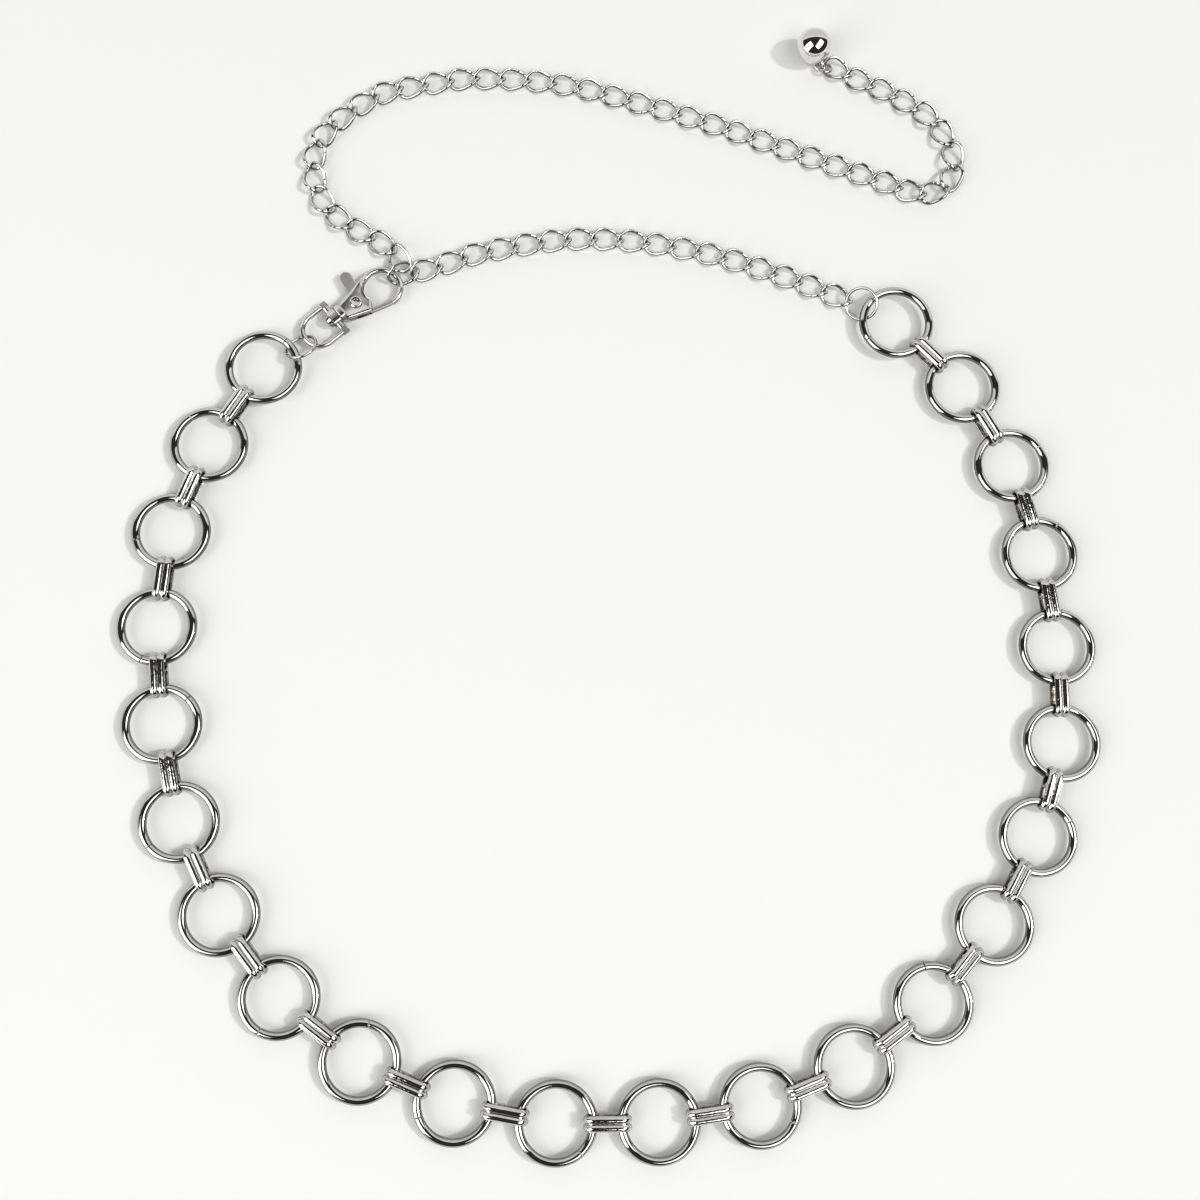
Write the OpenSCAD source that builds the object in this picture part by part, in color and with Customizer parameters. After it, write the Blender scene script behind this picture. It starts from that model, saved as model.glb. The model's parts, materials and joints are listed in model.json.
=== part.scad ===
// Waist chain: large round rings joined by ridged connectors, closed by a swivel
// trigger clasp and a curb chain that ends in a ball. It lies as it was laid on a table:
// the table is the plane z = 0, +X runs to the right and +Y away from the wearer's front.

/* [Belt rings] */
// Outer diameter of each belt ring
ring_od = 25; // [22:0.5:29]
// Thickness of the round wire of a belt ring
ring_wire = 2.7; // [2.2:0.1:3.1]
// Width of the butt joint where the wire of a ring meets itself
ring_seam = 0.2; // [0.1:0.05:0.4]

/* [Connectors] */
// Overall length of a connector
connector_len = 14.6; // [13.6:0.1:17]
// Width of the band of a connector
connector_w = 4.6; // [3.6:0.1:5.6]
// Thickness of the band at the crest of its ridges
band_t = 1.15; // [0.9:0.05:1.5]
// Height of the two ridges above the edges of the band
ridge_h = 0.45; // [0.2:0.05:0.6]
// Free height round a ring's wire inside a connector
connector_room = 1.3; // [1:0.1:2]

/* [Curb chain] */
// Outer length of a curb link
link_len = 11.4; // [10:0.2:13]
// Outer width of a curb link
link_w = 7.7; // [6.8:0.1:8.6]
// Thickness of the wire of a curb link
link_wire = 1.05; // [0.8:0.05:1.2]
// Twist of a link between its middle and either end, in degrees
link_twist = 45; // [40:1:50]
// Play of each link in the next when the chain is pulled straight
link_play = 0.4; // [0.3:0.05:0.8]

/* [Jump rings] */
// Outer diameter of the two large jump rings
jump_od = 11.4; // [11:0.1:12]
// Thickness of the wire of the large jump rings
jump_wire = 1; // [0.8:0.1:1.1]
// Outer diameter of the small ring at the ball
eye_ring_od = 5.6; // [5.2:0.1:6.4]
// Thickness of the wire of the small ring at the ball
eye_ring_wire = 0.9; // [0.7:0.1:1]

/* [Ball] */
// Diameter of the ball at the end of the chain
ball_d = 12; // [10:0.5:15]
// Outer diameter of the loop that stands on the ball
ball_eye_od = 4; // [3.8:0.1:4.6]
// Thickness of that loop
ball_eye_wire = 0.9; // [0.7:0.1:1]

/* [Clasp] */
// Radius of the hook's bow, at the middle of its wire
bow_r = 6.3; // [5.8:0.1:7]
// Thickness of the wire of the bow
bow_wire = 1.9; // [1.5:0.1:2.2]
// Distance from the bail's bar to the centre of the bow
bow_reach = 18.6; // [17.8:0.1:21]
// How far the centre of the bow lies to the side of the swivel's axis
bow_drop = 2; // [1.5:0.1:2.5]
// Thickness of the flat body of the hook
body_t = 3.4; // [3:0.1:4]
// Width of the body at its stem end
body_w = 6.2; // [5.4:0.1:7]
// Depth of the bevel round the faces of the body
body_bevel = 0.45; // [0.2:0.05:0.6]
// Thickness of the lever that swings inside the body
lever_t = 1.4; // [1:0.1:1.6]
// Width of the thumb tab of the lever
tab_w = 3.9; // [3.2:0.1:4.4]
// Distance from the rivet to the centre of the tab's round end
tab_reach = 9.9; // [9:0.1:11]
// Width of the gate that closes the hook
gate_w = 1.5; // [1.2:0.1:1.8]
// Diameter of the rivet's shank
rivet_d = 2.2; // [1.8:0.1:2.6]
// Diameter of the rivet's heads
rivet_head_d = 4.2; // [3.6:0.1:4.6]
// Height of each head of the rivet
rivet_head_h = 0.5; // [0.3:0.05:0.6]

/* [Swivel] */
// Diameter of the stem that turns in the bail's bar
stem_d = 2.4; // [2:0.1:2.8]
// Diameter of the collar between the bail's bar and the body
collar_d = 4.4; // [4:0.1:4.6]
// Diameter of the peened head inside the bail
head_d = 4.6; // [4.2:0.1:5]
// Radius of the bail, at the middle of its wire
bail_r = 5.65; // [5.2:0.05:6.4]
// Thickness of the bail's wire
bail_wire = 1.7; // [1.4:0.1:2]
// Distance from the bail's bar to the centre of its round end
bail_reach = 6.2; // [5:0.1:7.5]
// Width of the bail's bar, measured along the swivel's axis
bar_w = 2.4; // [2:0.1:2.8]
// Thickness of the bail's bar
bar_t = 2.2; // [1.8:0.1:2.6]
// Diameter of the boss in the middle of the bar
boss_d = 3.8; // [3.6:0.1:4.6]

/* [Fits] */
// Smallest clearance between two pieces that are looped through one another
loop_gap = 0.15; // [0.1:0.01:0.2]
// Height of a loose piece above the piece that it rests on
rest_gap = 0.3; // [0.25:0.01:0.4]
// Clearance of the swivel, the rivet and the lever
pin_fit = 0.15; // [0.1:0.01:0.2]
// Clearance between the end of the gate and the tip of the hook
gate_gap = 0.3; // [0.2:0.05:0.5]

/* [Hidden] */
ring_count = 23;
extender_count = 17;
tail_count = 40;
link_segments = 16;
wire_sides = 6;
$fn = 48;

// Where the clasp lies: the middle of the bail's bar and the heading of the swivel's axis
CLASP_AT = [-91.4, 79.5];
CLASP_HEADING = 41.5;

// The lie of the belt: heading of the step from each ring to the next, first ring at the clasp
BELT_LIE = [-122, -110, -95, -84, -77, -64, -52, -37, -23, -11, 0,
            8, 21, 36, 49, 60, 72, 89, 97, 104, 119, 134];

// The lie of the extender: step number and heading, from the hooked link to the end ring
EXTENDER_LIE = [[0, 12], [1, 19], [2, 20], [3, 13], [5, 9], [7, 0], [9, -7],
                [11, -12], [13, -18], [16, -22]];

// The lie of the tail: step number and heading, from the link beside the hook to the ball
TAIL_LIE = [[0, 135], [1, 150], [2, 147], [3, 132], [4, 110], [5, 91], [6, 68], [7, 46], [9, 28],
            [10, 13], [12, 10], [13, 2], [15, -4], [18, -15], [22, -17], [24, -20], [28, -19],
            [30, -20], [31, 0], [32, 41], [33, 82], [34, 110], [35, 127], [36, 145], [38, 156],
            [39, 152]];

// Where the wire of each ring meets itself: the heading seen from the ring's centre
SEAMS = [53, 126, 196, 249, 46, 221, 110, 241, 77, 200, 311, 170,
         334, 205, 103, 75, 25, 265, 82, 57, 34, 289, 213];

// Two links that do not lie flat: height of the centre, heading, nose-up pitch, left-side-up roll
HOOKED_LIE = [2.45, 23.5, -10, 23];
CROSSING_LIE = [3.15, 113.5, -2, -19];

// Place of the crossing link from the hooked one, as shares of a link's length
CROSSING_OFFSET = [-0.133, 0.424];

// Heading from the centre of the bow to the hooked link
HOOKED_HEADING = 38;

// Steps beside the two raised links, as a share of the chain's own pitch
RAISED_STEP = 0.9;

// Heading from the bail to the first ring, from the extender to its end ring and on to the last ring
FIRST_RING_HEADING = -147;
END_JUMP_HEADING = -24;
LAST_RING_HEADING = -29;

// The jump rings lean: height of the centre, heading, nose-up pitch, left-side-up roll
CLASP_JUMP_LIE = [3.47, -145, 3.3, 33.7];
END_JUMP_LIE = [3.47, -29.3, 7, 33.1];
EYE_RING_LIE = [1.5, -126, 20, 6];

// Their centres lie a little further along those headings and to the left of them
CLASP_JUMP_SHIFT = [0.1, 0.5];
END_JUMP_SHIFT = [-0.2, 0.2];

// Headings from the last link to the small ring, on to the ball's loop and on to the ball
EYE_RING_HEADING = 170;
EYE_HEADING = 167;
BALL_HEADING = 117;

// The ball's loop: how far it points down, and how far it is turned round that direction
EYE_DIP = 36;
EYE_TURN = 58;

RING_NODES = [for (i = [1:ring_count]) str("ring_", i < 10 ? "0" : "", i)];
CONNECTOR_NODES = [for (i = [1:ring_count - 1]) str("connector_", i < 10 ? "0" : "", i)];

function heading(a) = [cos(a), sin(a)];
function unit(v) = v / norm(v);
function shifted(at, turn, by) = at + by.x * heading(turn) + by.y * heading(turn + 90);
function total(list, i = 0) = i == len(list) ? [0, 0] : list[i] + total(list, i + 1);

// Every point of a walk that starts at a point and takes the steps of a list
function walk(start, steps) =
    [for (i = 0, p = start; i <= len(steps); p = p + (i < len(steps) ? steps[i] : [0, 0]), i = i + 1) p];

// Rings and connectors
ring_r = (ring_od - ring_wire) / 2;
connector_h = ring_wire + connector_room + 2 * band_t;
slot_r = (ring_wire + connector_room) / 2;
ring_z = band_t + rest_gap + ring_wire / 2;
// A ring's wire lies as far into the round end of the slot as its curve and its height let it
wire_drop = slot_r - rest_gap - ring_wire / 2;
wire_room = slot_r - ring_wire / 2 - loop_gap;
ring_sag = ring_r - sqrt(pow(ring_r, 2) - pow(connector_w / 2, 2));
wire_reach = sqrt(pow(wire_room, 2) - pow(wire_drop, 2)) - ring_sag;
ring_pitch = 2 * ring_r + connector_len - connector_h + 2 * wire_reach;

// Curb links
link_a = (link_len - link_wire) / 2;
link_b = (link_w - link_wire) / 2;
link_pitch = 2 * link_a - link_wire - link_play;
// Neighbours slide towards one another where the chain turns, most where it turns unevenly
turn_take_up = link_pitch / 9;
full_turn = 45;
full_unevenness = 16;
function turned_step(before, at, after) =
    link_pitch - turn_take_up * (pow((after - before) / 2 / full_turn, 2)
        + pow((2 * at - before - after) / 2 / full_unevenness, 2));
// Steps of a run of links: the first one starts at a raised link
function link_steps(headings) =
    let (last = len(headings) - 1)
    [for (i = [0:last])
        (i == 0 ? RAISED_STEP * link_pitch
                : turned_step(headings[i - 1], headings[i], headings[min(i + 1, last)]))
            * heading(headings[i])];
function link_point(t) =
    let (f = -link_twist * cos(t))
    [link_a * cos(t), link_b * sin(t) * cos(f), link_b * sin(t) * sin(f)];
link_z = max([for (t = [0:5:355]) link_point(t).z]) + link_wire * 0.55;

// Clasp, in its own frame: u along the swivel's axis towards the hook, v to the left
function from_clasp(u, v) =
    CLASP_AT + u * heading(CLASP_HEADING) + v * heading(CLASP_HEADING + 90);
clasp_z = head_d / 2 + rest_gap;
boss_len = bar_w + 0.5;
head_len = 1.3;
collar_len = 1.9;
stem_start = -boss_len / 2 - pin_fit - head_len;
body_start = boss_len / 2 + pin_fit + collar_len;
bow_at = [bow_reach, -bow_drop];
bow_from = -98;
bow_to = 112;
mouth_r = bow_r - 0.2;
rivet_at = [bow_reach / 2 - 0.65, -bow_drop / 2];
// Corners of the body's outline, from its stem end round by the bow and the gate
body_outline = [[body_start, 0.35 * body_w], bow_at + [-1.3, bow_r + bow_wire / 2 - 0.1],
                bow_at + [-1.4, bow_r - bow_wire], rivet_at + [2.7, -0.7 * body_w],
                rivet_at + [2.1, -0.94 * body_w], [body_start, -0.65 * body_w]];
lever_play = 0.2;
lever_slot = lever_t + 2 * lever_play;
slot_from = rivet_at.x - 2.95;
slot_to = rivet_at.x + 5.55;
head_gap = 0.1;
hub_r = 2.5;
tab_angle = 71;
tab_end = rivet_at + tab_reach * heading(tab_angle);
tab_root = rivet_at + [1.4, 0.4];
gate_tip = bow_at + bow_r * heading(bow_from);
gate_reach = norm(gate_tip - rivet_at);
gate_root = rivet_at + [1.7, -5];

// The first ring hangs on a jump ring that is looped through the bail
jump_r = (jump_od - jump_wire) / 2;
jump_hole_r = jump_r - jump_wire / 2;
bail_end = from_clasp(-bail_reach - bail_r, -1);
jump_slack = 1.6;
bail_to_ring = 2 * jump_hole_r - (bail_wire + ring_wire) / 2 - jump_slack;
first_ring = bail_end + (bail_to_ring + ring_r) * heading(FIRST_RING_HEADING);
clasp_jump_at = shifted(bail_end + bail_to_ring / 2 * heading(FIRST_RING_HEADING),
                        FIRST_RING_HEADING, CLASP_JUMP_SHIFT);
// The two end rings lie as high as the slots of their connectors let them
raised_ring_z = ring_z + connector_room - 2 * rest_gap;

// The hooked link lies across the wire of the bow
hook_play = 1.25;
hooked_reach = bow_r - (bow_wire + link_wire) / 2 - hook_play + link_a;
hooked_at = from_clasp(bow_at.x, bow_at.y) + hooked_reach * heading(HOOKED_HEADING);
crossing_at = hooked_at + link_len * CROSSING_OFFSET;

// Extender: links, then the end jump ring, then the last ring
extender_headings = [for (i = [0:extender_count - 1]) lookup(i, EXTENDER_LIE)];
extender_at = walk(hooked_at, link_steps(extender_headings));
jump_play = 0.6;
end_jump_at = extender_at[extender_count]
    + (link_a + jump_r - (link_wire + jump_wire) / 2 - jump_play) * heading(END_JUMP_HEADING);
end_jump_inset = 1.8;
last_ring = end_jump_at + (ring_r + end_jump_inset) * heading(LAST_RING_HEADING);

// Belt: the headings above are opened or closed a little until the belt joins its two ends
belt_span = last_ring - first_ring;
belt_mean = total([for (h = BELT_LIE) [h, 0]]).x / len(BELT_LIE);
function belt_steps(curl, turn) =
    [for (h = BELT_LIE) ring_pitch * heading(belt_mean + curl * (h - belt_mean) + turn)];
function belt_curl(low, high, n) =
    let (mid = (low + high) / 2)
    n == 0 ? mid
    : norm(total(belt_steps(mid, 0))) > norm(belt_span) ? belt_curl(mid, high, n - 1)
    : belt_curl(low, mid, n - 1);
curl = belt_curl(0.6, 1.4, 30);
open_span = total(belt_steps(curl, 0));
belt_turn = atan2(belt_span.y, belt_span.x) - atan2(open_span.y, open_span.x);
ring_at = walk(first_ring, belt_steps(curl, belt_turn));

// Tail
tail_headings = [for (i = [0:tail_count - 1]) lookup(i, TAIL_LIE)];
tail_at = walk(crossing_at, link_steps(tail_headings));

// Small ring and ball at the end of the tail
eye_ring_r = (eye_ring_od - eye_ring_wire) / 2;
eye_r = (ball_eye_od - ball_eye_wire) / 2;
ball_r = ball_d / 2;
tail_end = tail_at[tail_count];
eye_ring_play = 2;
eye_play = 0.9;
eye_ring_at = tail_end + (link_a + eye_ring_r - (link_wire + eye_ring_wire) / 2 - eye_ring_play)
    * heading(EYE_RING_HEADING);
eye_at = eye_ring_at + (eye_ring_r + eye_r - (eye_ring_wire + ball_eye_wire) / 2 - eye_play)
    * heading(EYE_HEADING);
eye_reach = ball_r + eye_r * 0.5;
ball_at = eye_at + eye_reach * cos(EYE_DIP) * heading(BALL_HEADING);

// A piece placed by the height of its centre and its heading
module placed(at, z, turn) {
    translate([at.x, at.y, z]) rotate(turn) children();
}

// A piece that does not lie flat, placed by the four numbers of its lie
module leaning(at, lie) {
    translate([at.x, at.y, lie[0]]) rotate([lie[3], -lie[2], lie[1]]) children();
}

module wire_ring(r, d, gap = 0) {
    angle = gap > 0 ? 360 - gap / r * 180 / PI : 360;
    rotate_extrude(angle = angle) translate([r, 0]) circle(d = d);
}

module belt_ring(i) {
    z = i == 0 || i == ring_count - 1 ? raised_ring_z : ring_z;
    color("silver")
        placed(ring_at[i], z, SEAMS[i])
            wire_ring(ring_r, ring_wire, ring_seam);
}

// Section of the band: flat inside, two rounded ridges outside, x points away from the slot
module band_section() {
    quarter = connector_w / 4;
    ridge_r = (pow(quarter, 2) + pow(ridge_h, 2)) / (2 * ridge_h);
    translate([0, -connector_w / 2]) square([band_t - ridge_h, connector_w]);
    for (side = [-1, 1])
        intersection() {
            translate([band_t - ridge_r, side * quarter]) circle(r = ridge_r);
            translate([0, side * quarter - quarter]) square([band_t, 2 * quarter]);
        }
}

module connector(i) {
    between = ring_at[i + 1] - ring_at[i];
    straight = connector_len - connector_h;
    color("gainsboro")
        placed((ring_at[i] + ring_at[i + 1]) / 2, connector_h / 2, atan2(between.y, between.x))
            for (half = [0, 180])
                rotate([0, half, 0]) {
                    translate([-straight / 2, 0, slot_r])
                        rotate([0, 90, 0]) rotate([0, 0, 180])
                            linear_extrude(straight) band_section();
                    translate([straight / 2, 0, 0]) rotate([90, 0, 0]) rotate([0, 0, -90])
                        rotate_extrude(angle = 180) translate([slot_r, 0]) band_section();
                }
}

// One curb link: a wire carried round an oval whose ends are turned either way
module curb_link() {
    turns = [for (i = [0:link_segments - 1]) i * 360 / link_segments];
    sides = [for (j = [0:wire_sides - 1]) j * 360 / wire_sides];
    points = [for (t = turns)
        let (f = -link_twist * cos(t), along = unit(link_point(t + 1) - link_point(t - 1)),
             out = unit(cross(along, [0, -sin(f), cos(f)])), up = cross(out, along))
        for (a = sides) link_point(t) + link_wire * 0.53 * (cos(a) * out + sin(a) * up)];
    faces = [for (i = [0:link_segments - 1], j = [0:wire_sides - 1])
        let (i1 = (i + 1) % link_segments, j1 = (j + 1) % wire_sides,
             a = i * wire_sides + j, b = i * wire_sides + j1,
             c = i1 * wire_sides + j1, d = i1 * wire_sides + j)
        each [[a, b, c], [a, c, d]]];
    polyhedron(points, faces);
}

// The links of a run, each turned half way between the steps on its two sides
module run_of_links(places, headings) {
    last = len(headings) - 1;
    for (i = [1:len(places) - 1])
        placed(places[i], link_z, (headings[i - 1] + headings[min(i, last)]) / 2) curb_link();
}

module extender_chain() {
    color("lightgray") {
        leaning(hooked_at, HOOKED_LIE) curb_link();
        run_of_links(extender_at, extender_headings);
    }
}

module tail_chain() {
    color("lightgray") {
        leaning(crossing_at, CROSSING_LIE) curb_link();
        run_of_links(tail_at, tail_headings);
    }
}

module clasp_jump_ring() {
    color("silver")
        leaning(clasp_jump_at, CLASP_JUMP_LIE) wire_ring(jump_r, jump_wire, ring_seam);
}

module end_jump_ring() {
    color("silver")
        leaning(shifted(end_jump_at, END_JUMP_HEADING, END_JUMP_SHIFT), END_JUMP_LIE)
            wire_ring(jump_r, jump_wire, ring_seam);
}

module ball_jump_ring() {
    color("silver")
        leaning(eye_ring_at, EYE_RING_LIE) wire_ring(eye_ring_r, eye_ring_wire, ring_seam);
}

module end_ball() {
    color("silver")
        leaning(ball_at, [ball_r, BALL_HEADING + 180, -EYE_DIP, EYE_TURN]) {
            sphere(r = ball_r);
            translate([eye_reach, 0, 0]) wire_ring(eye_r, ball_eye_wire);
        }
}

module in_clasp() {
    translate([CLASP_AT.x, CLASP_AT.y, clasp_z]) rotate([0, 0, CLASP_HEADING]) children();
}

// A round bar along the swivel's axis, from one u to another
module along_axis(from, to, d, d_to = 0) {
    translate([from, 0, 0]) rotate([0, 90, 0])
        cylinder(h = to - from, d1 = d, d2 = d_to > 0 ? d_to : d);
}

module bar_between(a, b, w) {
    translate(a) rotate(atan2(b.y - a.y, b.x - a.x))
        translate([0, -w / 2]) square([norm(b - a), w]);
}

// The bail: a bar with a bored boss, and a wire bent round from one of its ends to the other
module swivel_bail() {
    bar_half = bail_r + bail_wire / 2;
    color("silver") in_clasp() difference() {
        union() {
            translate([-bar_w / 2, -bar_half, -bar_t / 2]) cube([bar_w, 2 * bar_half, bar_t]);
            along_axis(-boss_len / 2, boss_len / 2, boss_d);
            for (side = [-1, 1])
                translate([0, side * bail_r, 0]) along_axis(-bail_reach, 0, bail_wire);
            translate([-bail_reach, 0, 0]) rotate([0, 0, 90])
                rotate_extrude(angle = 180) translate([bail_r, 0]) circle(d = bail_wire);
        }
        along_axis(-boss_len, boss_len, stem_d + 2 * pin_fit);
    }
}

// The body of the hook: a bevelled plate, wide enough for the lever to swing inside it
module hook_body() {
    hull() {
        linear_extrude(body_t - 2 * body_bevel, center = true) polygon(body_outline);
        linear_extrude(body_t, center = true) offset(delta = -body_bevel) polygon(body_outline);
    }
}

module clasp_hook() {
    color("silver") in_clasp() difference() {
        union() {
            difference() {
                hook_body();
                translate([bow_at.x, bow_at.y, -body_t]) cylinder(r = mouth_r, h = 2 * body_t);
            }
            translate([bow_at.x, bow_at.y, 0]) rotate([0, 0, bow_from])
                rotate_extrude(angle = bow_to - bow_from) translate([bow_r, 0])
                    circle(d = bow_wire);
            along_axis(stem_start, body_start + 1, stem_d);
            along_axis(stem_start, stem_start + head_len, head_d * 0.7, head_d);
            along_axis(body_start - collar_len, body_start + 0.3, collar_d);
        }
        translate([slot_from, -body_w - bow_r, -lever_slot / 2])
            cube([slot_to - slot_from, 2 * (body_w + bow_r), lever_slot]);
        translate([rivet_at.x, rivet_at.y, -body_t])
            cylinder(d = rivet_d + 2 * pin_fit, h = 2 * body_t);
        // The tip of the bow ends where the gate's end swings past it
        intersection() {
            translate([rivet_at.x, rivet_at.y, -body_t])
                cylinder(r = gate_reach + gate_gap, h = 2 * body_t);
            translate([bow_at.x - bow_r, gate_tip.y - bow_wire, -body_t])
                cube([2 * bow_r, 2 * bow_wire, 2 * body_t]);
        }
    }
}

module clasp_rivet() {
    head_from = body_t / 2 + head_gap;
    color("silver") in_clasp() translate([rivet_at.x, rivet_at.y, 0]) difference() {
        union() {
            cylinder(d = rivet_d, h = 2 * head_from + rivet_head_h, center = true);
            for (side = [0, 180])
                rotate([side, 0, 0]) translate([0, 0, head_from])
                    cylinder(d1 = rivet_head_d, d2 = rivet_head_d * 0.8, h = rivet_head_h);
        }
        translate([0, 0, head_from]) cylinder(d = rivet_d, h = rivet_head_h + 1, $fn = 6);
    }
}

module lever_sheet() {
    linear_extrude(lever_t, center = true) children();
}

module clasp_lever() {
    color("silver") in_clasp() difference() {
        union() {
            translate([rivet_at.x, rivet_at.y, 0])
                cylinder(r = hub_r, h = lever_t, center = true);
            lever_sheet() bar_between(tab_root, tab_end, tab_w);
            translate([tab_end.x, tab_end.y, 0])
                cylinder(d = tab_w, h = lever_t, center = true);
            lever_sheet()
                polygon([rivet_at + [-1.4, -1.6], rivet_at + [2.3, -1],
                         gate_root + [1.1, 0.4], gate_root + [-0.8, -0.3]]);
            intersection() {
                lever_sheet()
                    bar_between(gate_root, gate_tip + bow_wire * unit(gate_tip - gate_root), gate_w);
                translate([rivet_at.x, rivet_at.y, -lever_t])
                    cylinder(r = gate_reach, h = 2 * lever_t);
            }
        }
        translate([rivet_at.x, rivet_at.y, -lever_t])
            cylinder(d = rivet_d + 2 * pin_fit, h = 2 * lever_t);
    }
}

for (i = [0:ring_count - 1])
    belt_ring(i);
for (i = [0:ring_count - 2])
    connector(i);
clasp_hook();
clasp_rivet();
clasp_lever();
swivel_bail();
clasp_jump_ring();
end_jump_ring();
extender_chain();
tail_chain();
ball_jump_ring();
end_ball();
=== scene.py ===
# %% [markdown]
# # A waist chain: plated wire rings, ridged connectors, curb chain and a swivel clasp
# The real object is costume jewellery of bright nickel-plated wire and castings. The packed
# model gives every piece its place and size. This lesson measures each piece there, computes a
# finer surface for it as one array of points, and gives it the finish that plating has.

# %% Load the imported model
import json

import bpy
import numpy as np
from mathutils import Matrix, Vector


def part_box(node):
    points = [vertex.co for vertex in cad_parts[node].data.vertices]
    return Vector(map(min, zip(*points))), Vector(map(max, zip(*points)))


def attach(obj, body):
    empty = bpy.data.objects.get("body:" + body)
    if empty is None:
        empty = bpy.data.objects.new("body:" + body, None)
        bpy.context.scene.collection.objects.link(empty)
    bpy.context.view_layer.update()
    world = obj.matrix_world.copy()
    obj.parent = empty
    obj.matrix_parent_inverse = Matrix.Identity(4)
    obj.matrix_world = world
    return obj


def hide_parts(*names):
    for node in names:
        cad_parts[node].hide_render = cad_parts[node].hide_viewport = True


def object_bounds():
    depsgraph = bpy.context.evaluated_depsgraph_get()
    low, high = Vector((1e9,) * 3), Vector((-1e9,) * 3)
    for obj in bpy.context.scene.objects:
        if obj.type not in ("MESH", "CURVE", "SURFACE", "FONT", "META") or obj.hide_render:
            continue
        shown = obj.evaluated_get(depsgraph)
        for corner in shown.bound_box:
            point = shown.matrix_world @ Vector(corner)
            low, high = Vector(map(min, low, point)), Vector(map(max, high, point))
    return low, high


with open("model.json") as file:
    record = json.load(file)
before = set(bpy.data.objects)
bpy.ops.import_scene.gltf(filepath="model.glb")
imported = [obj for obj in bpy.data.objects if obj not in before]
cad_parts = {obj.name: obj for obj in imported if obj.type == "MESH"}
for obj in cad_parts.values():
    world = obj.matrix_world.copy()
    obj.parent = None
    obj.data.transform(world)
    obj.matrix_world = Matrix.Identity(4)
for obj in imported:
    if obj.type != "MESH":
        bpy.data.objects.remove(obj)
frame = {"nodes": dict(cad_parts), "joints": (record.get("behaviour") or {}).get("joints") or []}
cad_low, cad_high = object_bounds()

MM = 0.001
print("CAD box in mm:", [round(side / MM, 1) for side in cad_high - cad_low])

# %% [markdown]
# ## The camera
# The chain lies on a table and is seen from almost straight above. The places of the 23 rings
# give the lens and the tilt: the camera hangs 0.42 m over the table, a little towards the
# wearer's front, and looks down with a lean of about 11 degrees.

# %% Camera
CAMERA_AT_MM = (-19.9, -91.7, 416.9)
LEAN_DEG = 10.71
LEAN_AXIS_DEG = -11.77
LENS_MM = 39.54
SENSOR_MM = 36

camera_data = bpy.data.cameras.new("camera")
camera_data.sensor_width = SENSOR_MM
camera_data.lens = LENS_MM
camera_data.clip_start = 0.01
camera = bpy.data.objects.new("camera", camera_data)
bpy.context.scene.collection.objects.link(camera)
lean_axis = Vector((np.cos(np.radians(LEAN_AXIS_DEG)), np.sin(np.radians(LEAN_AXIS_DEG)), 0))
camera.matrix_world = (Matrix.Translation(Vector(CAMERA_AT_MM) * MM)
                       @ Matrix.Rotation(np.radians(LEAN_DEG), 4, lean_axis))
bpy.context.scene.camera = camera
print("camera height in m:", round(camera.location.z, 3))


# %% [markdown]
# ## Two helpers for materials
# Colours are written as the hex values that a paint chart gives. Shaders work with linear
# light, so one function does that conversion for every colour. One function adds a node.

# %% Colour and node helpers
def linear(hex_colour):
    """An sRGB hex colour as linear red, green, blue and alpha.

    Below 0.04045 a channel is divided by 12.92; above, it is (c + 0.055) / 1.055 to the 2.4.
    """
    channels = np.array([int(hex_colour[i:i + 2], 16) for i in (0, 2, 4)]) / 255
    light = np.where(channels <= 0.04045, channels / 12.92, ((channels + 0.055) / 1.055) ** 2.4)
    return (*light.tolist(), 1.0)


def add(tree, kind, inputs=(), links=(), **settings):
    """Adds a node, sets its properties and inputs, and links inputs to the given outputs."""
    node = tree.nodes.new(kind)
    for name, value in settings.items():
        setattr(node, name, value)
    for name, value in dict(inputs).items():
        node.inputs[name].default_value = value
    for name, output in dict(links).items():
        tree.links.new(output, node.inputs[name])
    return node


print("a middle grey in linear light:", round(linear("808080")[0], 3))

# %% [markdown]
# ## The studio
# Bright metal shows its surroundings and little else, so the room is half of the finish. The
# photographed ball shows the room: a white backdrop behind the table, a dark ceiling and a dark
# side where the camera stands, and two large white boxes to the left and the right of the
# camera. A smaller bright lamp on the right throws the shadows to the left. The limits of the
# backdrop and the wall are shares of a unit direction, along +Y and upwards. The studio is
# built in metres.

# %% Room round the table
BACKDROP_COLOUR = "D9D8D6"
FOLD_COLOUR = "FFFFFF"
ROOM_COLOUR = "302E2E"
BACKDROP_FROM = 0.4
LOW_WALL_TOP = 0.1
WALL_EDGE = 0.03
FOLD_TO = 0.62

world = bpy.data.worlds.new("white_backdrop_dark_room")
bpy.context.scene.world = world
world.use_nodes = True
room = world.node_tree
room.nodes.clear()
look = add(room, "ShaderNodeTexCoord").outputs["Generated"]
part = add(room, "ShaderNodeSeparateXYZ", links={"Vector": look}).outputs
# The backdrop fills the directions whose share along +Y is large, a low wall the flat ones
backdrop = add(room, "ShaderNodeMapRange", links={"Value": part["Y"]},
               interpolation_type="SMOOTHSTEP",
               inputs={"From Min": BACKDROP_FROM - WALL_EDGE, "From Max": BACKDROP_FROM + WALL_EDGE})
low_wall = add(room, "ShaderNodeMapRange", links={"Value": part["Z"]},
               interpolation_type="SMOOTHSTEP",
               inputs={"From Min": LOW_WALL_TOP + WALL_EDGE, "From Max": LOW_WALL_TOP - WALL_EDGE})
white = add(room, "ShaderNodeMath", operation="MAXIMUM",
            links={0: backdrop.outputs[0], 1: low_wall.outputs[0]})
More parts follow.
